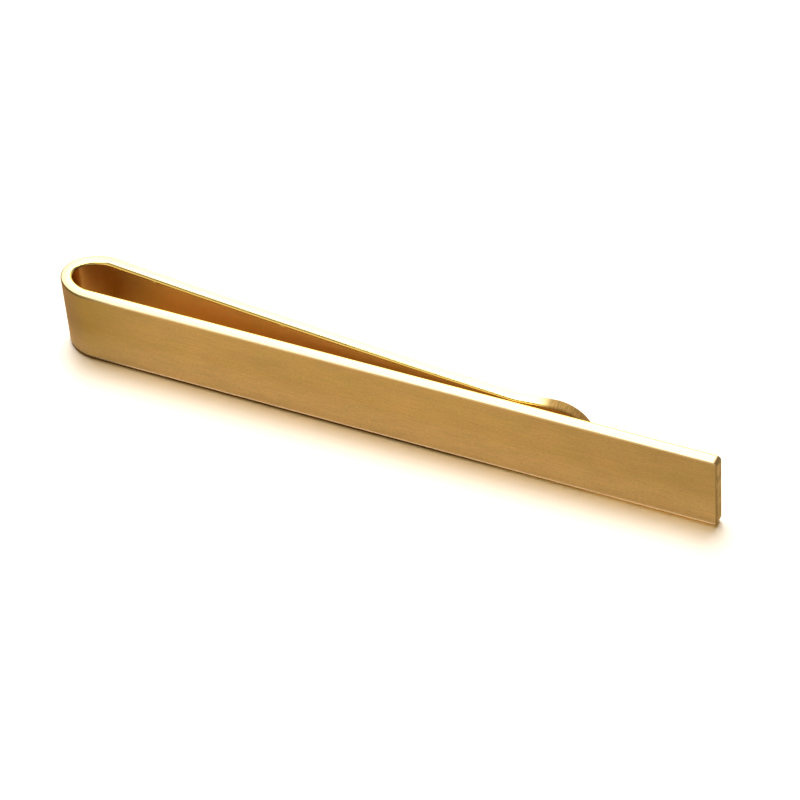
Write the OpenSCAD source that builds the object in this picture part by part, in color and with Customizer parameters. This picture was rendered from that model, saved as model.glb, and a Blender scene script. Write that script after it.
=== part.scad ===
// Slide-type tie clip: one strip of spring metal folded back on itself.
// It stands on its long edge. X runs along the front bar from the bow to the free end,
// the front bar faces -Y, the spring arm lies behind it, and +Z is up.
// The strip is followed along its middle layer, run by run: bar, bow, arm, contact bend, tongue.

/* [Strip] */
// Width of the strip, which is the height of the clip on its edge
strip_w = 6; // [3:0.1:12]
// Thickness of the strip
strip_t = 0.85; // [0.5:0.05:1.2]
// Radius that rounds the four long edges of the strip
edge_r = 0.12; // [0.04:0.01:0.2]

/* [Front bar] */
// Length over all, from the nose of the bow to the free end of the bar
clip_l = 52.5; // [46:0.1:80]
// Radius of the two corners at the free end of the bar
corner_r = 0.35; // [0.3:0.05:1.4]

/* [Bow] */
// Radius of the tight nose of the bow, at the middle layer
nose_r = 1.55; // [1.3:0.05:3]
// Radius of the two wide shoulders beside the nose, at the middle layer
shoulder_r = 2.9; // [2.5:0.05:6]

/* [Spring arm] */
// Length of the arm along the strip, from the bow to the contact bend
arm_l = 33.2; // [25:0.1:36]
// Radius of the arm's gentle set, at the middle layer
arm_set_r = 900; // [500:10:2000]
// Gap that the closed clip keeps between the arm and the bar
mouth_gap = 0.13; // [0.08:0.01:0.5]

/* [Tongue] */
// Radius of the contact bend, at the middle layer
contact_r = 6.3; // [2:0.1:12]
// Angle that the tongue flares away from the bar, in degrees
flare_a = 5.6; // [2:0.1:15]
// Flat length of the tongue from the contact bend to the centre of its round end
tongue_l = 2.25; // [1:0.05:6]

/* [Hidden] */

gold = [0.72, 0.53, 0.28];
dark_gold = [0.62, 0.44, 0.21];

// Where the arm's bending gathers, as shares of its length from the bow: the middles of the
// bending moment's first and second halves, for a load at the contact bend
arm_flex_shares = [2 / 9, 2 / 3];

// The nose turns the strip through a quarter circle, and the shoulder on each side through an eighth
nose_a = 90;
shoulder_a = nose_a / 2;
// Longest chord that stands for a curve when the model is drawn
chord = strip_t / 4;
// Steps in a full turn for the rounding of the edges and corners
round_fn = 48;
// Overrun of the outlines that cut the free end to shape
overrun = strip_t;
// Turns of the search for the arm's angle
search_n = 12;

// A run of the strip is [length, 0] where it is straight, or [radius, turn], a left turn positive.
// run_end gives where a run ends, seen from its start, as [x, y, heading].
function run_end(r) =
    r[1] == 0 ? [r[0], 0, 0] : [r[0] * sin(abs(r[1])), sign(r[1]) * r[0] * (1 - cos(r[1])), r[1]];

// The place at the end of a run that starts at place p
function ahead(p, r) =
    let (e = run_end(r))
    [p[0] + e[0] * cos(p[2]) - e[1] * sin(p[2]), p[1] + e[0] * sin(p[2]) + e[1] * cos(p[2]), p[2] + e[2]];

// The same run, followed from its end to its start
function reversed(r) = [r[0], -r[1]];

function turn_of(length, radius) = length / radius * 180 / PI;

// Depth of the clip, over the two shoulders of the bow
clip_depth = strip_t + 2 * (shoulder_r - (shoulder_r - nose_r) * cos(shoulder_a));
// The origin is under the middle of the clip's box
far_x = clip_l / 2;
front_y = -clip_depth / 2;
back_y = front_y + strip_t;

// The bow starts where the bar's straight ends, and its nose ends the clip's length
bow_x = strip_t / 2 + nose_r + (shoulder_r - nose_r) * sin(shoulder_a) - far_x;
bar_end = [far_x, front_y + strip_t / 2, 180];
bar_run = [far_x - bow_x, 0];
bow_start = ahead(bar_end, bar_run);
front_shoulder = [shoulder_r, -shoulder_a];
nose_start = ahead(bow_start, front_shoulder);
nose = [nose_r, -nose_a];
rear_start = ahead(nose_start, nose);

// The arm leaves the bow at the angle at which its contact bend just clears the bar
arm_turn = turn_of(arm_l, arm_set_r);
function rear_shoulder(droop) = [shoulder_r, -shoulder_a - droop];
function contact_y(droop) =
    let (tip = ahead(ahead(rear_start, rear_shoulder(droop)), [arm_set_r, arm_turn]))
    tip[1] - contact_r * (1 - cos(tip[2])) - strip_t / 2;
function find_droop(droop, n) =
    n == 0 ? droop : find_droop(droop + turn_of(contact_y(droop) - back_y - mouth_gap, arm_l), n - 1);
droop = find_droop(0, search_n);

arm_start = ahead(rear_start, rear_shoulder(droop));
function arm_run(from_share, to_share) = [arm_set_r, arm_turn * (to_share - from_share)];
function on_arm(share) = share == 0 ? arm_start : ahead(arm_start, arm_run(0, share));
bend_start = on_arm(1);
contact_bend = [contact_r, flare_a - bend_start[2]];
tongue_start = ahead(bend_start, contact_bend);

// Section of the strip: its thickness across, its width up, with rounded edges
module strip_section() {
    translate([-strip_t / 2, edge_r]) square([strip_t, strip_w - 2 * edge_r]);
    translate([edge_r - strip_t / 2, 0]) square([strip_t - 2 * edge_r, strip_w]);
    for (side = [-1, 1], end = [0, 1])
        translate([side * (strip_t / 2 - edge_r), edge_r + end * (strip_w - 2 * edge_r)])
            circle(r = edge_r, $fn = round_fn);
}

// Draws its children at a place, with +X along the strip's heading there
module at(p) {
    translate([p[0], p[1], 0]) rotate(p[2]) children();
}

// One run of the strip, from its middle layer's start at the origin, heading along +X.
// A right turn is a left turn mirrored.
module run(r) {
    if (r[1] == 0)
        rotate([90, 0, 90]) linear_extrude(r[0]) strip_section();
    else
        mirror([0, r[1] < 0 ? 1 : 0, 0]) translate([0, r[0], 0]) rotate(-90)
            rotate_extrude(angle = abs(r[1]), $fn = ceil(2 * PI * r[0] / chord))
                translate([r[0], 0]) strip_section();
}

// Outline of the bar, seen along Y or along Z: both corners of its free end rounded
module end_outline(across, r) {
    translate([bow_x, 0]) square([bar_run[0] - r, across]);
    translate([bow_x, r]) square([bar_run[0], across - 2 * r]);
    for (end = [0, 1])
        translate([far_x - r, r + end * (across - 2 * r)]) circle(r = r, $fn = round_fn);
}

// The flat show face, cut to its rounded corners and with its end edges rounded like the long ones
module front_bar() {
    color(gold) intersection() {
        at(bar_end) run(bar_run);
        translate([0, back_y + overrun, 0]) rotate([90, 0, 0])
            linear_extrude(strip_t + 2 * overrun) end_outline(strip_w, corner_r);
        translate([0, front_y, -overrun]) linear_extrude(strip_w + 2 * overrun)
            end_outline(strip_t, edge_r);
    }
}

// Two wide shoulders and a tight nose between them. Each run starts on the face that it shares.
module bow() {
    color(gold) at(nose_start) {
        rotate(180) run(reversed(front_shoulder));
        run(nose);
        at(run_end(nose)) run(rear_shoulder(droop));
    }
}

module arm_root() {
    color(dark_gold) at(arm_start) run(arm_run(0, arm_flex_shares[0]));
}

module spring_arm() {
    color(dark_gold)
        at(on_arm(arm_flex_shares[0])) run(arm_run(arm_flex_shares[0], arm_flex_shares[1]));
}

// The end of the arm with the bend that presses on the cloth
module arm_tip() {
    color(dark_gold) at(bend_start) {
        rotate(180) run(reversed(arm_run(arm_flex_shares[1], 1)));
        run(contact_bend);
    }
}

// Half section of the round end, from its centre to its rounded rim
module rim_section() {
    translate([0, -strip_t / 2]) square([strip_w / 2 - edge_r, strip_t]);
    translate([0, edge_r - strip_t / 2]) square([strip_w / 2, strip_t - 2 * edge_r]);
    for (side = [-1, 1])
        translate([strip_w / 2 - edge_r, side * (strip_t / 2 - edge_r)])
            circle(r = edge_r, $fn = round_fn);
}

// The flared lip, flat, with a full round end
module tongue() {
    color(dark_gold) at(tongue_start) {
        run([tongue_l, 0]);
        translate([tongue_l, 0, strip_w / 2]) rotate([90, 0, 0]) rotate(-90)
            rotate_extrude(angle = 180, $fn = ceil(PI * strip_w / chord)) rim_section();
    }
}

front_bar();
bow();
arm_root();
spring_arm();
arm_tip();
tongue();
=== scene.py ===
# %% [markdown]
# # A tie clip, folded from one strip of brushed gold
#
# The real clip is a single strip of spring metal. It is cut as a flat blank, its faces are
# brushed lengthwise, its edges are rounded and polished, and it is folded round a rod. This
# lesson makes it the same way: a flat blank first, then a bend that follows a drawn line.
#
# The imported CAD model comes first. Everything here is in metres, in the model's own frame.

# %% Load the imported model
import math

import bpy
import numpy as np
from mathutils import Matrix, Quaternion, Vector


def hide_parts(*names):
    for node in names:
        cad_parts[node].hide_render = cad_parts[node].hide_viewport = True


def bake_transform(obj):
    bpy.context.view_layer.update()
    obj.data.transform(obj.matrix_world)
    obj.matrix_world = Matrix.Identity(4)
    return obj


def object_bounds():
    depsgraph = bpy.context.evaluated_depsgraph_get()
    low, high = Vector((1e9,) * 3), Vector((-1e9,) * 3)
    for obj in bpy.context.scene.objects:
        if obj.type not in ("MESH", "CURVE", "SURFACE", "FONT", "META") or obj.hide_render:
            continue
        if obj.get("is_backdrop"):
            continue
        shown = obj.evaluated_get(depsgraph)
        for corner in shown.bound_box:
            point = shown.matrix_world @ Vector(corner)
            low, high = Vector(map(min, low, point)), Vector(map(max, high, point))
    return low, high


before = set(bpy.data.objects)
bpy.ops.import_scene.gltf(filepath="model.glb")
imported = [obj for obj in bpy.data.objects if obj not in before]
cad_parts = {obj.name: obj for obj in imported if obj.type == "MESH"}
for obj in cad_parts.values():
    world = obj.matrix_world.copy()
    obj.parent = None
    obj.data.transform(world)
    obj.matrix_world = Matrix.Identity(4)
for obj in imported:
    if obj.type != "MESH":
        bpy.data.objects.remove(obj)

MM = 0.001
cad_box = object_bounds()
print("CAD box in mm:", [[round(c / MM, 3) for c in corner] for corner in cad_box])

# %% [markdown]
# ## The camera
#
# The photograph was taken from above and a little to the right, with a long lens, so the far
# end of the clip is hardly smaller than the near end. A camera can be placed by eye. Here its
# place, its aim and its slight roll were fitted to the clip's edges in the photograph.

# %% Place the camera
camera_data = bpy.data.cameras.new("camera")
camera = bpy.data.objects.new("camera", camera_data)
bpy.context.scene.collection.objects.link(camera)
bpy.context.scene.camera = camera

camera_at = Vector((89.9394, -167.0261, 174.7992)) * MM
aim_at = Vector((1.61919, -1.35502, 3.0)) * MM
aim = aim_at - camera_at
roll = Quaternion(aim.normalized(), math.radians(4.9249))
camera.location = camera_at
camera.rotation_mode = "QUATERNION"
camera.rotation_quaternion = roll @ aim.to_track_quat("-Z", "Y")
camera_data.sensor_width = 36.0
camera_data.lens = 159.964
camera_data.clip_start, camera_data.clip_end = 0.01, 10.0
print("The camera is", round(aim.length / MM, 1), "mm from the clip.")

# %% [markdown]
# ## Helpers for node trees
#
# Materials, the room and the fold are all trees of nodes. They could be wired by hand in the
# editor. A few small functions make each tree readable as a recipe, and the same every time.

# %% Add nodes and link them
def node(tree, kind, inputs=None, **settings):
    """Adds a node. An input is a value, or another node's output to link."""
    made = tree.nodes.new(kind)
    for name, value in settings.items():
        setattr(made, name, value)
    for name, value in (inputs or {}).items():
        if isinstance(value, bpy.types.NodeSocket):
            tree.links.new(value, made.inputs[name])
        else:
            made.inputs[name].default_value = value
    return made


def spread(tree, value, from_low, from_high, to_low=0.0, to_high=1.0, curve="LINEAR"):
    """Stretches one range of a value over another, and stops at both ends."""
    return node(tree, "ShaderNodeMapRange", {"Value": value, "From Min": from_low, "From Max": from_high,
                                             "To Min": to_low, "To Max": to_high},
                interpolation_type=curve).outputs["Result"]


def arithmetic(tree, operation, a, b=0.0):
    return node(tree, "ShaderNodeMath", {0: a, 1: b}, operation=operation).outputs[0]


def times(tree, a, b):
    return arithmetic(tree, "MULTIPLY", a, b)


def between(tree, factor, a, b):
    """A number from a to b, as the factor goes from 0 to 1."""
    return node(tree, "ShaderNodeMix", {0: factor, 2: a, 3: b}, data_type="FLOAT").outputs[0]


def mixed(tree, factor, a, b):
    """A colour from a to b, as the factor goes from 0 to 1."""
    made = node(tree, "ShaderNodeMix", {0: factor}, data_type="RGBA")
    for socket, value in ((made.inputs[6], a), (made.inputs[7], b)):
        if isinstance(value, bpy.types.NodeSocket):
            tree.links.new(value, socket)
        else:
            socket.default_value = (*value, 1)
    return made.outputs[2]


def new_material(name):
    material = bpy.data.materials.new(name)
    material.use_nodes = True
    material.node_tree.nodes.clear()
    return material


def not_lighting(tree):
    """1 for what the camera sees and what metal or glass shows, 0 for the light itself."""
    path = node(tree, "ShaderNodeLightPath").outputs
    either = arithmetic(tree, "MAXIMUM", path["Is Camera Ray"], path["Is Glossy Ray"])
    return arithmetic(tree, "MAXIMUM", either, path["Is Transmission Ray"])


# %% [markdown]
# ## The paper
#
# The clip stands on white paper. A white background could come from strong lamps, but they
# would bleach the gold. So the paper has two whites: a plain one that takes part in the
# lighting, and a brighter one that the camera and the metal see, with the shadow still on it.
#
# The paper lies a hair below the clip, so that the dark line under its long edge shows.

# %% Lay the paper
TABLE_R = 3.0
TABLE_SIDES = 96
TABLE_DROP = 0.18 * MM
LIT_WHITE = 0.9
SEEN_WHITE = 1.6

table_mesh = bpy.data.meshes.new("table")
turns = [2 * math.pi * i / TABLE_SIDES for i in range(TABLE_SIDES)]
table_mesh.from_pydata([(TABLE_R * math.cos(a), TABLE_R * math.sin(a), -TABLE_DROP) for a in turns], [],
                       [list(range(TABLE_SIDES))])
table = bpy.data.objects.new("table", table_mesh)
bpy.context.scene.collection.objects.link(table)
table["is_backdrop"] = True

paper = new_material("white_paper")
lit, seen = [node(paper.node_tree, "ShaderNodeBsdfDiffuse", {"Color": (white, white, white, 1)})
             for white in (LIT_WHITE, SEEN_WHITE)]
shown = node(paper.node_tree, "ShaderNodeMixShader",
             {0: not_lighting(paper.node_tree), 1: lit.outputs[0], 2: seen.outputs[0]})
node(paper.node_tree, "ShaderNodeOutputMaterial", {"Surface": shown.outputs[0]})
table_mesh.materials.append(paper)
print("The paper is", 2 * TABLE_R, "m across, and", round(TABLE_DROP / MM, 2), "mm below the clip.")

# %% [markdown]
# ## The room
#
# Metal shows the room that it stands in. A room can be built from walls and cards. A sky whose
# light depends on direction alone is simpler, and has no corners to mirror.
#
# It has two levels, as the paper has. The metal mirrors a white horizon that grows dim overhead
# and at both sides, and those dim parts are the dark lines along the rounded edges. The light
# on the clip is warm and comes from above only, so that the shadow in front stays golden.

# %% Make the room
ROOM_LIT = 0.40
WARM_WALLS = (1.0, 0.65, 0.15)
WHITE = (1.0, 1.0, 1.0)
CEILING_DIM, SIDES_DIM = 0.3, 0.12
SIDES_FROM, SIDES_TO = 0.45, 0.95
# Elevations in degrees: the mirrored room grows dim over the first range, and the light on the
# clip comes in over the second.
DIM_FROM, DIM_TO = 28, 62
LIT_FROM, LIT_TO = 33, 57


def height_at(elevation):
    """How high a direction points, from 0 at the horizon to 1 overhead, given its degrees."""
    return math.sin(math.radians(elevation))


room = bpy.data.worlds.new("room")
bpy.context.scene.world = room
room.use_nodes = True
sky_tree = room.node_tree
sky_tree.nodes.clear()
direction = node(sky_tree, "ShaderNodeTexCoord").outputs["Generated"]
towards = node(sky_tree, "ShaderNodeSeparateXYZ", {"Vector": direction}).outputs
by_height = spread(sky_tree, towards["Z"], height_at(DIM_FROM), height_at(DIM_TO),
                   1.0, CEILING_DIM, "SMOOTHSTEP")
sideways = arithmetic(sky_tree, "ABSOLUTE", towards["X"])
by_side = spread(sky_tree, sideways, SIDES_FROM, SIDES_TO, 1.0, SIDES_DIM, "SMOOTHSTEP")
lit_room = spread(sky_tree, towards["Z"], height_at(LIT_FROM), height_at(LIT_TO),
                  0.0, ROOM_LIT, "SMOOTHSTEP")
strength = between(sky_tree, not_lighting(sky_tree), lit_room, times(sky_tree, by_height, by_side))
tint = mixed(sky_tree, not_lighting(sky_tree), WARM_WALLS, WHITE)
sky = node(sky_tree, "ShaderNodeBackground", {"Color": tint, "Strength": strength})
node(sky_tree, "ShaderNodeOutputWorld", {"Surface": sky.outputs[0]})
print("The room's tree has", len(sky_tree.nodes), "nodes.")

# %% [markdown]
# ## The lamps
#
# One wide soft light hangs almost overhead, a little behind the clip and to its left. It turns
# the upper edges white and lays the shadow in front. A weak, narrower one stands low behind it.
#
# An area lamp could stand for a softbox. A sun lamp that looks as wide does the same for a
# small object, and lights the whole paper evenly.

# %% Hang the lamps
def softbox(name, azimuth, elevation, width, strength):
    """A far round softbox. Azimuth is from +Y towards +X, width is how wide it looks, in degrees."""
    data = bpy.data.lights.new(name, "SUN")
    data.energy = strength
    data.angle = math.radians(width)
    lamp = bpy.data.objects.new(name, data)
    bpy.context.scene.collection.objects.link(lamp)
    a, e = math.radians(azimuth), math.radians(elevation)
    towards = Vector((math.sin(a) * math.cos(e), math.cos(a) * math.cos(e), math.sin(e)))
    lamp.rotation_mode = "QUATERNION"
    lamp.rotation_quaternion = towards.to_track_quat("Z", "Y")
    radiance = strength / (2 * math.pi * (1 - math.cos(data.angle / 2)))
    print(f"{name} looks {radiance:.2f} and lights the table to {strength * math.sin(e) / math.pi:.2f}")


softbox("top_light", -28, 75, 32, 2.0)
softbox("back_light", -29, 43, 22, 0.22)
bpy.context.scene.view_settings.view_transform = "Standard"

# %% [markdown]
# ## The line that the strip is folded along
#
# Seen from above, the middle layer of the strip is a chain of straight runs and arcs: the
# bar, two wide shoulders with a tight nose between them, the long arm, the bend that presses
# on the cloth, and the flat tongue. Each run starts where the last one ended, as in the CAD.
#
# A hand-drawn curve would do for one picture. Runs keep the true radii and lengths.

# %% Follow the runs
STRIP_W = 6 * MM
STRIP_T = 0.85 * MM
CLIP_L = 52.5 * MM
NOSE_R = 1.55 * MM
SHOULDER_R = 2.9 * MM
ARM_L = 33.2 * MM
ARM_SET_R = 900 * MM
MOUTH_GAP = 0.13 * MM
CONTACT_R = 6.3 * MM
FLARE = math.radians(5.6)
TONGUE_L = 2.25 * MM
SHOULDER_TURN = math.radians(45)
NOSE_TURN = math.radians(90)
SEARCH_STEPS = 12


def ahead(place, run):
    """Where a run ends, as x, y, heading. A run is its length and its turn to the left."""
    x, y, heading = place
    length, turn = run
    if turn == 0:
        return x + length * math.cos(heading), y + length * math.sin(heading), heading
    r = length / turn
    return (x + r * (math.sin(heading + turn) - math.sin(heading)),
            y - r * (math.cos(heading + turn) - math.cos(heading)), heading + turn)


def follow(start, runs):
    places = [start]
    for run in runs:
        places.append(ahead(places[-1], run))
    return places


def arc(radius, turn):
    return radius * abs(turn), turn


clip_depth = STRIP_T + 2 * (SHOULDER_R - (SHOULDER_R - NOSE_R) * math.cos(SHOULDER_TURN))
far_x = CLIP_L / 2
front_y = -clip_depth / 2
back_y = front_y + STRIP_T
bow_x = STRIP_T / 2 + NOSE_R + (SHOULDER_R - NOSE_R) * math.sin(SHOULDER_TURN) - far_x
bar_end = (far_x, front_y + STRIP_T / 2, math.pi)


def runs_to_arm(droop):
    """The runs up to the end of the arm, for an arm that leaves the bow drooping by this angle."""
    return [(far_x - bow_x, 0), arc(SHOULDER_R, -SHOULDER_TURN), arc(NOSE_R, -NOSE_TURN),
            arc(SHOULDER_R, -SHOULDER_TURN - droop), (ARM_L, ARM_L / ARM_SET_R)]


# The arm droops by the angle at which its contact bend just clears the bar.
droop = 0.0
for _ in range(SEARCH_STEPS):
    x, y, heading = follow(bar_end, runs_to_arm(droop))[-1]
    contact_y = y - CONTACT_R * (1 - math.cos(heading)) - STRIP_T / 2
    droop += (contact_y - back_y - MOUTH_GAP) / ARM_L

runs = runs_to_arm(droop) + [arc(CONTACT_R, FLARE - heading), (TONGUE_L, 0), (STRIP_W / 2, 0)]
places = follow(bar_end, runs)
marks = np.cumsum([0] + [length for length, _ in runs])
RUN_NAMES = ("bar", "front shoulder", "nose", "rear shoulder", "arm", "contact bend", "tongue", "round end")
print("The arm droops by", round(math.degrees(droop), 4), "degrees.")
for name, place, mark in zip(RUN_NAMES, places, marks):
    print(f"{name} starts {mark / MM:.3f} mm along, at x {place[0] / MM:.4f}, y {place[1] / MM:.4f}")

# %% Draw the line
LINE_STEP = math.radians(0.5)


def line_points():
    points = [places[0][:2]]
    for place, (length, turn) in zip(places, runs):
        steps = max(1, math.ceil(abs(turn) / LINE_STEP))
        points += [ahead(place, (length * i / steps, turn * i / steps))[:2] for i in range(1, steps + 1)]
    return points


drawn = line_points()
line_data = bpy.data.curves.new("fold_line", "CURVE")
line_data.dimensions = "3D"
spline = line_data.splines.new("POLY")
spline.points.add(len(drawn) - 1)
for point, (x, y) in zip(spline.points, drawn):
    point.co = (x, y, 0, 1)
fold_line = bpy.data.objects.new("fold_line", line_data)
bpy.context.scene.collection.objects.link(fold_line)
print("The line has", len(drawn), "points.")

# %% [markdown]
# ## The flat blank
#
# The blank is a flat bar: two faces with a rounded rim between them. It is made in flat
# coordinates: x runs along the strip, y through its thickness and z across its width. The
# wheel left the outer long edges crisp, and the inner ones rounder along the arm.
#
# A bevel modifier could round the rim. Rings of points round the outline give the same shape
# with known normals, so the faces stay dead flat right up to their rounded edges.

# %% Rows across the strip, columns along it, and rings round its rim
BOW_AT, ARM_AT, CONTACT_AT, ROUND_END_AT = (float(marks[i]) for i in (1, 4, 5, 7))
BOW_MIDDLE = float(marks[2] + marks[3]) / 2
TIP_AT = ROUND_END_AT + STRIP_W / 2
EDGE_R = 0.12 * MM
OUTER_EDGE_R = 0.07 * MM
ARM_EDGE_R = 0.2 * MM
CORNER_R = 0.35 * MM
ROUND_STEPS = 6
INSETS = [ARM_EDGE_R, 0.28 * MM, CORNER_R, 1.1 * MM, 1.75 * MM, 2.4 * MM, STRIP_W / 2]
CORE = INSETS.index(CORNER_R)
MIDDLE = len(INSETS) - 1
ROWS = INSETS + [STRIP_W - inset for inset in INSETS[-2::-1]]
# One step for each run, from the bar to the tongue.
COLUMN_STEPS = [1.0 * MM, 0.05 * MM, 0.027 * MM, 0.05 * MM, 0.4 * MM, 0.06 * MM, 0.6 * MM]


def columns(start, end):
    """Lengths along the strip from start to end, close together where it bends."""
    found = [start]
    for a, b, step in zip(marks, marks[1:], COLUMN_STEPS):
        a, b = max(a, start), min(b, end)
        if b > a:
            found += list(np.linspace(a, b, math.ceil((b - a) / step) + 1)[1:])
    return found


def inner_radius(s):
    """The inner long edges are rounder on the arm. They change round the bow."""
    return float(np.interp(s, [BOW_AT, ARM_AT], [EDGE_R, ARM_EDGE_R]))


def rim_rings(inner_r):
    """Rings from the outer face to the inner one: reach past the flat, y, tilt and length."""
    tilts = [math.pi / 2 * i / ROUND_STEPS for i in range(ROUND_STEPS + 1)]

    def rounded(r):
        return [(0.0, STRIP_T / 2, 0.0)] + [
            (ARM_EDGE_R - r + r * math.sin(a), STRIP_T / 2 - r + r * math.cos(a), a) for a in tilts]

    outer, inner = rounded(OUTER_EDGE_R), rounded(inner_r)
    side = [(ARM_EDGE_R, 0.0, math.pi / 2)]
    line = outer + side + [(reach, -y, math.pi - a) for reach, y, a in inner[::-1]]
    lengths = np.cumsum([0.0] + [math.dist(p[:2], q[:2]) for p, q in zip(line, line[1:])])
    return [(*point, length) for point, length in zip(line, lengths)]


RINGS = rim_rings(EDGE_R)
print("A column has", len(ROWS), "rows, and the rim has", len(RINGS), "rings of points.")

# %% A blank's points and faces
OUTER, INNER, EDGE, CUT = range(4)


class Blank:
    """Points and faces of a flat blank, with the way each point faces and its finish."""

    def __init__(self):
        self.points, self.facing = [], []
        self.faces, self.finish, self.uv = [], [], []

    def point(self, s, y, z, facing):
        self.points.append((s, y, z))
        self.facing.append(facing)
        return len(self.points) - 1

    def pair(self, s, z):
        """The same place on the outer and on the inner face."""
        return tuple(self.point(s, side * STRIP_T / 2, z, (0, side, 0)) for side in (1, -1))

    def face(self, corners, finish, uv=None):
        self.faces.append(corners)
        self.finish.append(finish)
        self.uv += uv or [(self.points[c][0], self.points[c][2]) for c in corners]

    def panel(self, pairs):
        """One polygon on both faces, its pairs given as they turn round the outer face."""
        self.face([outer for outer, _ in pairs], OUTER)
        self.face([inner for _, inner in reversed(pairs)], INNER)

    def weave(self, grid):
        """Panels between columns of pairs."""
        for left, right in zip(grid, grid[1:]):
            for j in range(len(left) - 1):
                self.panel([left[j], left[j + 1], right[j + 1], right[j]])

    def fan(self, centre, spokes):
        """Panels between spokes round a centre."""
        for a, b in zip(spokes, spokes[1:]):
            self.panel([centre, b[0], a[0]])
            for j in range(len(a) - 1):
                self.panel([a[j], b[j], b[j + 1], a[j + 1]])

    def spokes(self, centre, radius, insets, from_a, to_a, steps):
        """The spokes between two angles round a centre, with the outline's way at each."""
        made = []
        for i in range(1, steps):
            a = math.radians(from_a + (to_a - from_a) * i / steps)
            way = (math.cos(a), math.sin(a))
            made.append(([self.pair(centre[0] + (radius - inset) * way[0],
                                    centre[1] + (radius - inset) * way[1]) for inset in insets], way))
        return made

    def rim(self, stations):
        """The rounded rim along a stretch of outline. A station is a pair and its outward way."""
        rings, outline = [], []
        for (outer, inner), way in stations:
            s, _, z = self.points[outer]
            outline.append((s + way[0] * ARM_EDGE_R, z + way[1] * ARM_EDGE_R))
            rings.append([outer] + [
                self.point(s + way[0] * reach, y, z + way[1] * reach,
                           (way[0] * math.sin(a), math.cos(a), way[1] * math.sin(a)))
                for reach, y, a, _ in rim_rings(inner_radius(s))[1:-1]] + [inner])
        lengths = np.cumsum([0.0] + [math.dist(p, q) for p, q in zip(outline, outline[1:])])
        for i in range(len(stations) - 1):
            for k in range(len(RINGS) - 1):
                corners = [rings[i][k], rings[i + 1][k], rings[i + 1][k + 1], rings[i][k + 1]]
                u, v = lengths[i:i + 2], (RINGS[k][3], RINGS[k + 1][3])
                if k in (0, len(RINGS) - 2):
                    self.face(corners, INNER if k else OUTER)
                else:
                    self.face(corners, EDGE, [(u[0], v[0]), (u[1], v[0]), (u[1], v[1]), (u[0], v[1])])
        return rings

    def cut(self, column, upper, lower, forwards):
        """Closes the strip where it is parted from the next piece."""
        polygons = [[a[0], b[0], b[1], a[1]] for a, b in zip(column, column[1:])] + [upper, lower[::-1]]
        for polygon in polygons:
            self.face(polygon if forwards else polygon[::-1], CUT)


# %% [markdown]
# ## The blank's two ends
#
# The bar's free end is square, with two small corners. The tongue's end is a full half round,
# so that it slides into the cloth. A Boolean modifier could cut both to shape, but it leaves
# long thin faces. Fans of faces round each corner carry the rim's rings on without a break.

# %% Shape a blank's two ends
CORNER_STEPS = 8
ROUND_END_STEPS = 72


def free_end(blank, first):
    """Short columns between two rounded corners. Gives the outline from the top corner down."""
    rows = slice(CORE, len(ROWS) - CORE)
    short = [[blank.pair(inset, z) for z in ROWS[rows]] for inset in INSETS[:CORE]]
    blank.weave(short + [first[rows]])
    insets = INSETS[CORE - 1::-1]
    upper = blank.spokes((CORNER_R, STRIP_W - CORNER_R), CORNER_R, insets, 90, 180, CORNER_STEPS)
    lower = blank.spokes((CORNER_R, CORNER_R), CORNER_R, insets, 180, 270, CORNER_STEPS)
    above, below = first[len(ROWS) - CORE:], first[CORE - 1::-1]
    top, bottom = [c[-1] for c in reversed(short)], [c[0] for c in reversed(short)]
    blank.fan(first[rows][-1], [above] + [spoke for spoke, _ in upper] + [top])
    blank.fan(first[rows][0], [bottom] + [spoke for spoke, _ in lower] + [below])
    return ([(spoke[-1], way) for spoke, way in upper] + [(pair, (-1.0, 0.0)) for pair in reversed(short[0])]
            + [(spoke[-1], way) for spoke, way in lower])


def round_end(blank, last):
    """A half disc. Gives the outline from below it to above it."""
    insets = INSETS[MIDDLE - 1::-1]
    spokes = blank.spokes((ROUND_END_AT, STRIP_W / 2), STRIP_W / 2, insets, -90, 90, ROUND_END_STEPS)
    blank.fan(last[MIDDLE], [last[MIDDLE - 1::-1]] + [spoke for spoke, _ in spokes] + [last[MIDDLE + 1:]])
    return [(spoke[-1], way) for spoke, way in spokes]


def make_blank(start, end):
    """The blank from start to end along the strip, with the real ends where it reaches them."""
    blank = Blank()
    grid = [[blank.pair(s, z) for z in ROWS] for s in columns(max(start, CORNER_R), min(end, ROUND_END_AT))]
    blank.weave(grid)
    above = [(column[-1], (0.0, 1.0)) for column in reversed(grid)]
    below = [(column[0], (0.0, -1.0)) for column in grid]
    if start < CORNER_R:
        rings = blank.rim(above + free_end(blank, grid[0]) + below)
        blank.cut(grid[-1], rings[0], rings[-1], True)
    elif end > ROUND_END_AT:
        rings = blank.rim(below + round_end(blank, grid[-1]) + above)
        blank.cut(grid[0], rings[-1], rings[0], False)
    else:
        upper, lower = blank.rim(above), blank.rim(below)
        blank.cut(grid[-1], upper[0], lower[-1], True)
        blank.cut(grid[0], upper[-1], lower[0], False)
    return blank


print("The bar's blank has", len(make_blank(0.0, BOW_MIDDLE).points), "points.")

# %% [markdown]
# ## Folding the blank
#
# A short tree of Geometry Nodes bends the blank along the line. A point that lies some length
# along the blank goes to the place that far along the line, and keeps its distance from the
# middle layer. That is what real bending does, and it keeps every length true.
#
# The tree also keeps each point's flat coordinates, so that the brushing, which was done on
# the flat strip, follows it round the bow.

# %% Build the folding tree
FINISHES = ("Outer face", "Inner face", "Edges", "Cuts")


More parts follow.
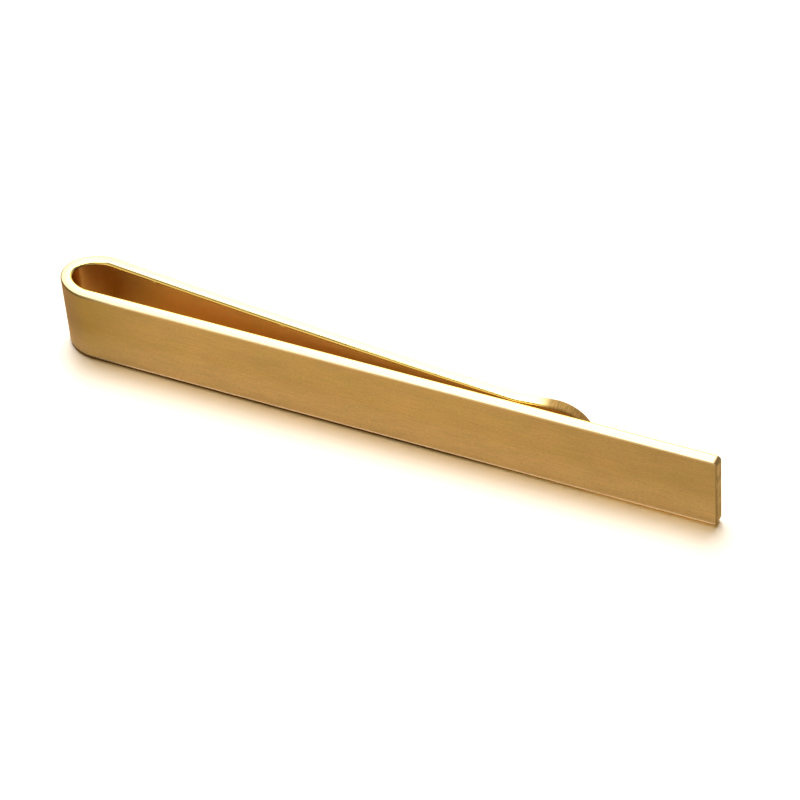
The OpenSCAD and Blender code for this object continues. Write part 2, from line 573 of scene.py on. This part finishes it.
def folding_tree():
    tree = bpy.data.node_groups.new("fold_the_blank", "GeometryNodeTree")
    tree.interface.new_socket("Blank", in_out="INPUT", socket_type="NodeSocketGeometry")
    tree.interface.new_socket("Fold line", in_out="INPUT", socket_type="NodeSocketObject")
    for name in FINISHES:
        tree.interface.new_socket(name, in_out="INPUT", socket_type="NodeSocketMaterial")
    tree.interface.new_socket("Folded strip", in_out="OUTPUT", socket_type="NodeSocketGeometry")
    given = node(tree, "NodeGroupInput").outputs

    flat = node(tree, "GeometryNodeInputPosition").outputs[0]
    flat_xyz = node(tree, "ShaderNodeSeparateXYZ", {"Vector": flat})
    line = node(tree, "GeometryNodeObjectInfo", {"Object": given["Fold line"]})
    on_line = node(tree, "GeometryNodeSampleCurve",
                   {"Curves": line.outputs["Geometry"], "Length": flat_xyz.outputs["X"]}, mode="LENGTH")
    leftward = node(tree, "ShaderNodeVectorMath", {0: (0, 0, 1), 1: on_line.outputs["Tangent"]},
                    operation="CROSS_PRODUCT")

    def scaled(vector, length):
        return node(tree, "ShaderNodeVectorMath", {0: vector, "Scale": length}, operation="SCALE").outputs[0]

    def total(a, b):
        return node(tree, "ShaderNodeVectorMath", {0: a, 1: b}, operation="ADD").outputs[0]

    def stored(geometry, name, value):
        return node(tree, "GeometryNodeStoreNamedAttribute",
                    {"Geometry": geometry, "Name": name, "Value": value},
                    data_type="FLOAT_VECTOR", domain="POINT").outputs[0]

    side = scaled(leftward.outputs[0], flat_xyz.outputs["Y"])
    up = node(tree, "ShaderNodeCombineXYZ", {"Z": flat_xyz.outputs["Z"]}).outputs[0]
    bent = total(on_line.outputs["Position"], total(side, up))

    facing = node(tree, "GeometryNodeInputNamedAttribute", {"Name": "facing"}, data_type="FLOAT_VECTOR")
    facing_xyz = node(tree, "ShaderNodeSeparateXYZ", {"Vector": facing.outputs["Attribute"]})
    forward = scaled(on_line.outputs["Tangent"], facing_xyz.outputs["X"])
    sideways = scaled(leftward.outputs[0], facing_xyz.outputs["Y"])
    upward = node(tree, "ShaderNodeCombineXYZ", {"Z": facing_xyz.outputs["Z"]}).outputs[0]

    strip = stored(given["Blank"], "flat", flat)
    strip = stored(strip, "facing", total(forward, total(sideways, upward)))
    strip = node(tree, "GeometryNodeSetPosition", {"Geometry": strip, "Position": bent}).outputs[0]
    strip = node(tree, "GeometryNodeRealizeInstances", {"Geometry": strip}).outputs[0]
    finish = node(tree, "GeometryNodeInputNamedAttribute", {"Name": "finish"}, data_type="INT")
    for number, name in enumerate(FINISHES):
        chosen = node(tree, "FunctionNodeCompare", {2: finish.outputs["Attribute"], 3: number},
                      data_type="INT", operation="EQUAL")
        strip = node(tree, "GeometryNodeSetMaterial",
                     {"Geometry": strip, "Selection": chosen.outputs[0], "Material": given[name]}).outputs[0]
    node(tree, "NodeGroupOutput", {"Folded strip": strip})
    return tree


fold_the_blank = folding_tree()
print("The folding tree has", len(fold_the_blank.nodes), "nodes.")

# %% [markdown]
# ## The metal
#
# Plated brass mirrors what is round it, tinted gold. What tells its surfaces apart is how they
# were rubbed. One shader serves all of them: metal that mirrors sharply along its grain and
# blurs across it, with fine marks in its colour, its gloss and its surface.
#
# A photograph of brushed metal could be laid on. Noise that is stretched along the strip's own
# flat coordinates gives sharper lines, follows the bow, and has no repeats.

# %% The gold shader, and streaks that follow the strip
GOLD = (0.605, 0.408, 0.145)
PALE_GOLD = (0.98, 0.76, 0.42)
SHADED_BOW_GOLD = (0.405, 0.257, 0.06)
GLANCING_GOLD = (1.0, 0.78, 0.45)
# A quarter turn: the highlights stretch across the grain.
ACROSS_GRAIN = 0.25
STREAK_ROUGHNESS = 0.6
# The middle of a noise's range, which is spread over a whole step: sharper and softer.
SHARP_STEP, SOFT_STEP = (0.38, 0.62), (0.35, 0.65)


def shade(colour, by):
    return tuple(c * by for c in colour)


def flat_place(tree):
    """Where a point lay on the flat strip, as one vector and as X along, Y through and Z across."""
    flat = node(tree, "ShaderNodeAttribute", attribute_name="flat").outputs["Vector"]
    return flat, node(tree, "ShaderNodeSeparateXYZ", {"Vector": flat}).outputs


def streaks(tree, flat, along, across, detail=3.0, offset=0.0):
    """Noise in streaks, given how long and how wide a streak is."""
    size = node(tree, "ShaderNodeVectorMath", {0: flat, 1: (1 / along, 1 / across, 1 / across)},
                operation="MULTIPLY").outputs[0]
    moved = node(tree, "ShaderNodeVectorMath", {0: size, 1: (offset, offset, offset)},
                 operation="ADD").outputs[0]
    return node(tree, "ShaderNodeTexNoise", {"Vector": moved, "Scale": 1.0, "Detail": detail,
                                             "Roughness": STREAK_ROUGHNESS},
                noise_dimensions="3D").outputs["Fac"]


def near(tree, along, middle, inside, outside):
    """1 close to a place along the strip, fading to 0 between two distances from it."""
    away = arithmetic(tree, "ABSOLUTE", arithmetic(tree, "SUBTRACT", along, middle))
    return spread(tree, away, inside, outside, 1.0, 0.0)


def gold_shader(tree, colour, roughness, height, bump, anisotropy, metallic=1.0):
    """Gold that blurs across its grain. The grain runs along the first axis of the UV map."""
    normal = node(tree, "ShaderNodeBump", {"Height": height, "Strength": 1.0, "Distance": bump}).outputs[0]
    tangent = node(tree, "ShaderNodeTangent", direction_type="UV_MAP", uv_map="grain").outputs[0]
    shader = node(tree, "ShaderNodeBsdfPrincipled",
                  {"Base Color": colour, "Metallic": metallic, "Roughness": roughness, "Normal": normal,
                   "Tangent": tangent, "Anisotropic": anisotropy, "Anisotropic Rotation": ACROSS_GRAIN,
                   "Specular Tint": (*GLANCING_GOLD, 1), "Specular IOR Level": 0.0})
    node(tree, "ShaderNodeOutputMaterial", {"Surface": shader.outputs[0]})


# %% [markdown]
# ## The brushed faces
#
# Both faces were drawn along an abrasive belt. Fine short scratches make most of the grain,
# longer streaks and slow clouds the rest, with a few hairlines and specks on top. The bow's
# outer face has painted shade, and a painted mauve reflection at its nose. The inner face is
# smoother, with painted shade in the bow and painted light along the arm.
#
# Each change could be its own material, but a real finish has no border. So every one is a
# soft step in the flat coordinates, and one material runs from end to end.

# %% The colour along the strip
NOSE_REFLECTION_GOLD = (0.40, 0.245, 0.125)
BOW_FADES = (2.0 * MM, 9.5 * MM)
NOSE_FADES = (1.6 * MM, 3.4 * MM)
NOSE_REFLECTION_STRENGTH = 0.9
HALF_TURNED = 4 * MM
TIP_LIGHT_FROM = CONTACT_AT - 12 * MM


def colour_along(tree, along, at_bow, colours, marked):
    """The colours are those of the bow, the arm and the arm's tip. The bar has plain gold."""
    bow_colour, arm_colour, tip_colour = colours
    on_arm = spread(tree, along, BOW_MIDDLE - HALF_TURNED, BOW_MIDDLE + HALF_TURNED)
    to_tip = spread(tree, along, ARM_AT, TIP_LIGHT_FROM)
    base = mixed(tree, on_arm, GOLD, mixed(tree, to_tip, arm_colour, tip_colour))
    base = mixed(tree, at_bow, base, bow_colour)
    # Painted reflection: a mauve tint at the nose of the bow.
    nose_reflection = times(tree, near(tree, along, BOW_MIDDLE, *NOSE_FADES), NOSE_REFLECTION_STRENGTH * marked ** 2)
    return mixed(tree, nose_reflection, base, NOSE_REFLECTION_GOLD)


# %% The marks and the rubbed edges of a face
HIGHLIGHT_GOLD = (1.0, 0.84, 0.6)
HAIR_STEP, HAIR_STRENGTH = (0.70, 0.76), 0.5
DOT_STEP, DOT_STRENGTH = (0.80, 0.84), 0.8
MARK_SHADE, BOW_EDGE_SHADE_LEVEL, FREE_END_LINE_SHADE = 0.6, 0.3, 0.45
HIGHLIGHT_BAND = (0.13 * MM, 0.22 * MM)
BOW_EDGE_SHADE_BAND = (0.12 * MM, 0.22 * MM)
BAND_STRENGTH = 0.95
UPPER_FROM, UPPER_HIGHLIGHT = (1 * MM, 2 * MM), 0.35
BOW_EDGE_SHADE_FADES = (3.5 * MM, 7.0 * MM)
FREE_END_LINE_BAND, FREE_END_LINE_STRENGTH = (0.12 * MM, 0.2 * MM), 0.6


def marked_face(tree, flat, place, body, marked):
    """Hairlines and specks, then narrow bands of painted highlight and painted shade along the edges."""
    hairs = streaks(tree, flat, 2.5 * MM, 0.06 * MM, detail=1.0, offset=19.0)
    dots = streaks(tree, flat, 0.14 * MM, 0.10 * MM, detail=0.0, offset=31.0)
    scratched = arithmetic(tree, "MAXIMUM", spread(tree, hairs, *HAIR_STEP, 0.0, HAIR_STRENGTH * marked),
                           spread(tree, dots, *DOT_STEP, 0.0, DOT_STRENGTH * marked))
    body = mixed(tree, scratched, body, shade(GOLD, MARK_SHADE))

    # Painted highlight: a light band along both long edges, stronger along the lower one.
    from_edge = arithmetic(tree, "MINIMUM", place["Z"], arithmetic(tree, "SUBTRACT", STRIP_W, place["Z"]))
    edge_highlight = times(tree, spread(tree, from_edge, *HIGHLIGHT_BAND, BAND_STRENGTH, 0.0),
                   spread(tree, place["Z"], *UPPER_FROM, 1.0, UPPER_HIGHLIGHT))
    body = mixed(tree, edge_highlight, body, HIGHLIGHT_GOLD)

    # Painted shade: dark bands along both long edges near the bow, and across the face at the free end.
    bow_edge_shade = times(tree, spread(tree, from_edge, *BOW_EDGE_SHADE_BAND, BAND_STRENGTH, 0.0),
                     near(tree, place["X"], BOW_MIDDLE, *BOW_EDGE_SHADE_FADES))
    body = mixed(tree, bow_edge_shade, body, shade(SHADED_BOW_GOLD, BOW_EDGE_SHADE_LEVEL))
    filed = spread(tree, place["X"], *FREE_END_LINE_BAND, FREE_END_LINE_STRENGTH, 0.0)
    return mixed(tree, filed, body, shade(GOLD, FREE_END_LINE_SHADE))


# %% The brushed gold
COOLER, WARMER = (0.99, 1.005, 0.98), (1.01, 0.995, 1.02)
FINE_SHARE, CLOUD_SHARE = 0.65, 0.14
DARKER, LIGHTER = 0.17, 0.18
LIGHTER_UP_TO, LIGHTER_AT_FOOT = 3 * MM, 0.26
END_FADES, END_SHADE = (2 * MM, 21 * MM), 0.13
END_LOWER_PART, END_LOWER_SHARE = (1 * MM, 3.5 * MM), 0.3
GLOSS_CHANGE = 0.06
SCRATCH_DEPTH = 0.006 * MM


def brushed_gold(name, colours, roughness, bow_roughness, anisotropy, marked):
    """A face that was brushed lengthwise. marked says how strong its marks are, from 0 to 1."""
    material = new_material(name)
    tree = material.node_tree
    flat, place = flat_place(tree)
    fine = streaks(tree, flat, 0.22 * MM, 0.07 * MM)
    longer = streaks(tree, flat, 1.8 * MM, 0.13 * MM, detail=4.0, offset=7.0)
    clouds = streaks(tree, flat, 4 * MM, 1.6 * MM, detail=2.0, offset=3.0)
    patches = streaks(tree, flat, 2.5 * MM, 1.2 * MM, detail=3.0, offset=43.0)
    grain = arithmetic(tree, "ADD", times(tree, fine, FINE_SHARE), times(tree, longer, 1 - FINE_SHARE))
    tone = arithmetic(tree, "ADD", times(tree, grain, 1 - CLOUD_SHARE), times(tree, clouds, CLOUD_SHARE))

    # The colour, a little warmer or cooler in patches, and paler near the foot, which is painted light.
    at_bow = near(tree, place["X"], BOW_MIDDLE, *BOW_FADES)
    base = colour_along(tree, place["X"], at_bow, colours, marked)
    tint = mixed(tree, spread(tree, patches, *SOFT_STEP), COOLER, WARMER)
    base = node(tree, "ShaderNodeVectorMath", {0: base, 1: tint}, operation="MULTIPLY").outputs[0]
    low_painted_light = spread(tree, place["Z"], 0.0, LIGHTER_UP_TO, LIGHTER_AT_FOOT * marked, 0.0)
    base = mixed(tree, low_painted_light, base, PALE_GOLD)

    # The grain makes it lighter and darker, and its upper part darkens towards the free end.
    end_shade = times(tree, spread(tree, place["X"], *END_FADES, END_SHADE * marked, 0.0),
                      spread(tree, place["Z"], *END_LOWER_PART, END_LOWER_SHARE, 1.0))
    contrast = spread(tree, tone, *SHARP_STEP, 1 - DARKER * marked, 1 + LIGHTER * marked)
    contrast = arithmetic(tree, "SUBTRACT", contrast, end_shade)
    body = node(tree, "ShaderNodeVectorMath", {0: base, "Scale": contrast}, operation="SCALE").outputs[0]
    body = marked_face(tree, flat, place, body, marked)

    rough = between(tree, at_bow, roughness, bow_roughness)
    rough = arithmetic(tree, "ADD", rough, spread(tree, grain, *SHARP_STEP, -GLOSS_CHANGE, GLOSS_CHANGE))
    gold_shader(tree, body, rough, grain, SCRATCH_DEPTH, anisotropy)
    return material


# Painted shade and light on the inner face: darker inside the bow, brighter along the arm, and brightest
# towards the contact bend.
SHADED_BOW_INSIDE_GOLD = (0.55, 0.30, 0.066)
LIT_ARM_INSIDE_GOLD = (0.88, 0.49, 0.10)
LIT_TIP_INSIDE_GOLD = (1.0, 0.61, 0.17)
# Painted shade: the outer face's gold is darker at the bow.
outer_face = brushed_gold("brushed_face", (SHADED_BOW_GOLD, GOLD, GOLD), roughness=0.8, bow_roughness=0.75,
                          anisotropy=0.5, marked=1.0)
inner_face = brushed_gold("satin_face", (SHADED_BOW_INSIDE_GOLD, LIT_ARM_INSIDE_GOLD, LIT_TIP_INSIDE_GOLD), roughness=0.72,
                          bow_roughness=0.38, anisotropy=0.4, marked=0.4)
print("The outer face's tree has", len(outer_face.node_tree.nodes), "nodes.")

# %% [markdown]
# ## The rim
#
# The long edges were rounded and polished on a wheel, so they are pale and glossy. At the bow
# they are speckled, with painted shade: a creamier highlight and dark lines along the outside
# and the inside. The inner rounding has a painted yellow highlight. The foot, the lowest edge,
# is painted dark and dull as a contact shadow, which draws the dark line on the paper. That
# line fades towards the free end. Both ends of the strip were filed across it, and show the file's marks.
#
# The rim could be four materials too. It is one, in layers, from the polish to the foot.

# %% The polished part of the rim
DIMMED_HIGHLIGHT_GOLD = (0.78, 0.635, 0.37)
SPECK_GOLD = (0.45, 0.36, 0.17)
OUTER_EDGE_SHADE_GOLD = (0.22, 0.11, 0.03)
INNER_EDGE_HIGHLIGHT_GOLD = (0.98, 0.66, 0.16)
INNER_EDGE_SHADE_GOLD = (0.26, 0.19, 0.07)
POLISH_SHADE = 0.93
RIM_BOW_FADES, DIMMED_HIGHLIGHT_STRENGTH = (3.0 * MM, 6.0 * MM), 0.8
SPECK_STEP, SPECK_STRENGTH = (0.66, 0.74), 0.6
OUTERMOST, OUTER_EDGE_SHADE_STRENGTH = (STRIP_T / 2 - 1.6 * OUTER_EDGE_R, STRIP_T / 2 - 0.8 * OUTER_EDGE_R), 0.9
INNERMOST = (-STRIP_T / 2 + 0.1 * MM, -STRIP_T / 2 + 0.2 * MM)
INNER_SHADE_AT = BOW_MIDDLE + 1.0 * MM
INNER_SHADE_FADES, INNER_SHADE_STRENGTH = (0.8 * MM, 1.9 * MM), 0.8


def polished_gold(tree, flat, place, polish):
    at_bow = near(tree, place["X"], BOW_MIDDLE, *RIM_BOW_FADES)
    colour = mixed(tree, spread(tree, polish, *SOFT_STEP), shade(PALE_GOLD, POLISH_SHADE), PALE_GOLD)
    # Painted shade: the highlight on the rim is dimmed to cream at the bow.
    colour = mixed(tree, times(tree, at_bow, DIMMED_HIGHLIGHT_STRENGTH), colour, DIMMED_HIGHLIGHT_GOLD)
    specks = streaks(tree, flat, 0.16 * MM, 0.12 * MM, detail=1.0, offset=61.0)
    specked = times(tree, at_bow, spread(tree, specks, *SPECK_STEP, 0.0, SPECK_STRENGTH))
    colour = mixed(tree, specked, colour, SPECK_GOLD)
    # Painted shade: a dark line along the outer edge at the bow.
    outermost = spread(tree, place["Y"], *OUTERMOST, 0.0, OUTER_EDGE_SHADE_STRENGTH)
    colour = mixed(tree, times(tree, at_bow, outermost), colour, OUTER_EDGE_SHADE_GOLD)
    # Painted highlight: a yellow line along the inner edge.
    innermost = spread(tree, place["Y"], *INNERMOST, 1.0, 0.0)
    colour = mixed(tree, innermost, colour, INNER_EDGE_HIGHLIGHT_GOLD)
    # Painted shade: a dark olive line along the inner edge at the bow.
    from_inner_shade = arithmetic(tree, "ABSOLUTE", arithmetic(tree, "SUBTRACT", place["X"], INNER_SHADE_AT))
    inner_edge_shade = times(tree, innermost, spread(tree, from_inner_shade, *INNER_SHADE_FADES, INNER_SHADE_STRENGTH, 0.0))
    return mixed(tree, inner_edge_shade, colour, INNER_EDGE_SHADE_GOLD)


# %% The filed ends, and the whole rim
CONTACT_SHADE_GOLD = (0.24, 0.03, 0.001)
# The darker and the lighter gold of the file's marks, at the free end and at the tongue.
FILED_END = ((0.30, 0.205, 0.085), (0.47, 0.32, 0.13))
FILED_TONGUE = ((0.42, 0.275, 0.09), (0.66, 0.43, 0.145))
END_TO_TONGUE = (5 * MM, 10 * MM)
FILED_TO = (0.2 * MM, 0.35 * MM)
FILED_FROM = (ROUND_END_AT - 1.4 * MM, ROUND_END_AT + 0.2 * MM)
CONTACT_SHADE_BAND = (0.06 * MM, 0.075 * MM)
CONTACT_SHADE_FADES, CONTACT_SHADE_AT_END = (15 * MM, 22 * MM), 0.1
ROUGH_INSIDE, ROUGH_OUTSIDE, ROUGH_WHERE_FILED = 0.12, 0.32, 0.8
POLISH_CHANGE = 0.03
POLISH_DEPTH = 0.001 * MM


def filed_gold(tree, flat, along):
    file_marks = streaks(tree, flat, 0.07 * MM, 0.8 * MM, offset=5.0)
    by_file = spread(tree, file_marks, *SHARP_STEP)
    return mixed(tree, spread(tree, along, *END_TO_TONGUE), mixed(tree, by_file, *FILED_END),
                 mixed(tree, by_file, *FILED_TONGUE))


def polished_edge():
    """The rounded rim: polished along the strip, and filed across it at both of its ends."""
    material = new_material("polished_edge")
    tree = material.node_tree
    flat, place = flat_place(tree)
    polish = streaks(tree, flat, 4 * MM, 0.05 * MM, offset=11.0)
    filed = arithmetic(tree, "MAXIMUM", spread(tree, place["X"], *FILED_TO, 1.0, 0.0),
                       spread(tree, place["X"], *FILED_FROM, 0.0, 1.0, "SMOOTHSTEP"))
    # Painted shade: the foot is dark and not metal, as a contact shadow line that fades towards the free
    # end.
    contact_shade = times(tree, spread(tree, place["Z"], *CONTACT_SHADE_BAND, 1.0, 0.0),
                 spread(tree, place["X"], *CONTACT_SHADE_FADES, CONTACT_SHADE_AT_END, 1.0))
    polished = mixed(tree, contact_shade, polished_gold(tree, flat, place, polish), CONTACT_SHADE_GOLD)
    colour = mixed(tree, filed, polished, filed_gold(tree, flat, place["X"]))
    smooth = spread(tree, place["Y"], -STRIP_T / 4, STRIP_T / 4, ROUGH_INSIDE, ROUGH_OUTSIDE)
    smooth = arithmetic(tree, "ADD", smooth,
                        spread(tree, polish, *SOFT_STEP, -POLISH_CHANGE, POLISH_CHANGE))
    rough = between(tree, filed, smooth, ROUGH_WHERE_FILED)
    bare = arithmetic(tree, "SUBTRACT", 1.0, contact_shade)
    gold_shader(tree, colour, rough, polish, POLISH_DEPTH, anisotropy=0.5, metallic=bare)
    return material


rim_finish = polished_edge()
print("The rim's tree has", len(rim_finish.node_tree.nodes), "nodes.")

# %% [markdown]
# ## The cuts
#
# The real strip has no cuts. The model parts it where nothing bends, and the cut faces only
# show as a hair when the clip is sprung open. They could be left bare. A plain cloudy gold
# costs little, and nothing odd shows if one of them is seen.

# %% The cut faces
CLOUD_SIZE = 0.2 * MM
CUT_SHADE, CUT_ROUGHNESS = 0.8, 0.4


def cut_gold():
    material = new_material("cut_face")
    tree = material.node_tree
    flat, _ = flat_place(tree)
    cloudy = streaks(tree, flat, CLOUD_SIZE, CLOUD_SIZE)
    colour = mixed(tree, cloudy, shade(GOLD, CUT_SHADE), GOLD)
    gold_shader(tree, colour, CUT_ROUGHNESS, cloudy, POLISH_DEPTH, anisotropy=0.0)
    return material


finishes = dict(zip(FINISHES, (outer_face, inner_face, rim_finish, cut_gold())))
print("Finishes:", [material.name for material in finishes.values()])

# %% [markdown]
# ## The pieces
#
# The real strip is one piece that bends all along the bow and the arm. The model has a joint
# where each stretch of that bending gathers. A blended piece crosses one joint, so the strip
# is made as four pieces that part where nothing bends: in the middle of the bow and in the
# middle of each stiff stretch of the arm. At rest and when sprung open the parts still meet.
#
# Each flat blank is folded by the modifier, and the result is kept as a plain mesh.

# %% Fold one piece
def face_the_right_way(bent):
    """Sets the normals that the fold carried along, so that flat stays flat and round is round."""
    facing = np.zeros(len(bent.vertices) * 3)
    bent.attributes["facing"].data.foreach_get("vector", facing)
    facing = facing.reshape(-1, 3)
    kinds = np.zeros(len(bent.polygons), int)
    bent.attributes["finish"].data.foreach_get("value", kinds)
    normals = []
    for polygon, kind in zip(bent.polygons, kinds):
        normals += [polygon.normal if kind == CUT else facing[v] for v in polygon.vertices]
    bent.shade_smooth()
    bent.normals_split_custom_set(normals)
    for spare in ("facing", "finish"):
        bent.attributes.remove(bent.attributes[spare])


def folded(name, start, end):
    blank = make_blank(start, end)
    mesh = bpy.data.meshes.new(name + "_flat")
    mesh.from_pydata(blank.points, [], blank.faces)
    mesh.attributes.new("facing", "FLOAT_VECTOR", "POINT").data.foreach_set("vector", np.ravel(blank.facing))
    mesh.attributes.new("finish", "INT", "FACE").data.foreach_set("value", blank.finish)
    grain = mesh.uv_layers.new(name="grain")
    grain.data.foreach_set("uv", np.ravel(np.array(blank.uv) / CLIP_L))
    flat = bpy.data.objects.new(name + "_flat", mesh)
    bpy.context.scene.collection.objects.link(flat)

    fold = flat.modifiers.new("fold", "NODES")
    fold.node_group = fold_the_blank
    sockets = {item.name: item.identifier for item in fold_the_blank.interface.items_tree
               if item.in_out == "INPUT"}
    fold[sockets["Fold line"]] = fold_line
    for finish, material in finishes.items():
        fold[sockets[finish]] = material
    depsgraph = bpy.context.evaluated_depsgraph_get()
    bent = bpy.data.meshes.new_from_object(flat.evaluated_get(depsgraph), preserve_all_data_layers=True,
                                           depsgraph=depsgraph)
    bent.name = name
    bpy.data.objects.remove(flat)
    face_the_right_way(bent)

    piece = bpy.data.objects.new(name, bent)
    bpy.context.scene.collection.objects.link(piece)
    print(f"{name}: {len(bent.vertices)} points, {len(bent.polygons)} faces, "
          f"{(end - start) / MM:.2f} mm along the strip")
    return piece


# %% Fold the four pieces, and hide the model's pieces that they stand for
# The arm's joints are at 2/9 and 2/3 of its length. These are the middles of the two stretches
# that they end.
ARM_ROOT_MIDDLE = ARM_AT + ARM_L / 9
SPRING_ARM_MIDDLE = ARM_AT + ARM_L * 4 / 9

PIECES = [
    # name, from, to, bodies, the model's pieces it stands for, slot, and x in mm where the blend
    # starts and ends
    ("front_bar_and_bow", 0.0, BOW_MIDDLE, ("front_bar", "bow"),
     ("front_bar", "bow"), "brushed_gold", -22.0, -24.5),
    ("bow_and_arm_root", BOW_MIDDLE, ARM_ROOT_MIDDLE, ("bow", "arm_root"),
     ("arm_root",), "satin_gold", -24.4, -21.4),
    ("arm_root_and_arm", ARM_ROOT_MIDDLE, SPRING_ARM_MIDDLE, ("arm_root", "spring_arm"),
     ("spring_arm",), "satin_gold", -19.1, -12.1),
    ("arm_and_tongue", SPRING_ARM_MIDDLE, TIP_AT, ("spring_arm", "arm_tip"),
     ("arm_tip", "tongue"), "satin_gold", -7.3, 5.5),
]
for name, start, end, (before, after), nodes, slot, blend_from, blend_to in PIECES:
    piece = folded(name, start, end)
    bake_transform(piece)
    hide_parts(*nodes)
bpy.data.objects.remove(fold_line)

# %% [markdown]
# ## Measure and finish
#
# Both boxes, the CAD model's and the dressed clip's, are kept and printed. The dressed
# clip must have the CAD model's box.

# %% Keep both boxes
boxes = {"cad": [list(corner) for corner in cad_box], "visual": [list(corner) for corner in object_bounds()]}
for name, box in boxes.items():
    print(name, "box in mm:", [[round(c / MM, 4) for c in corner] for corner in box])
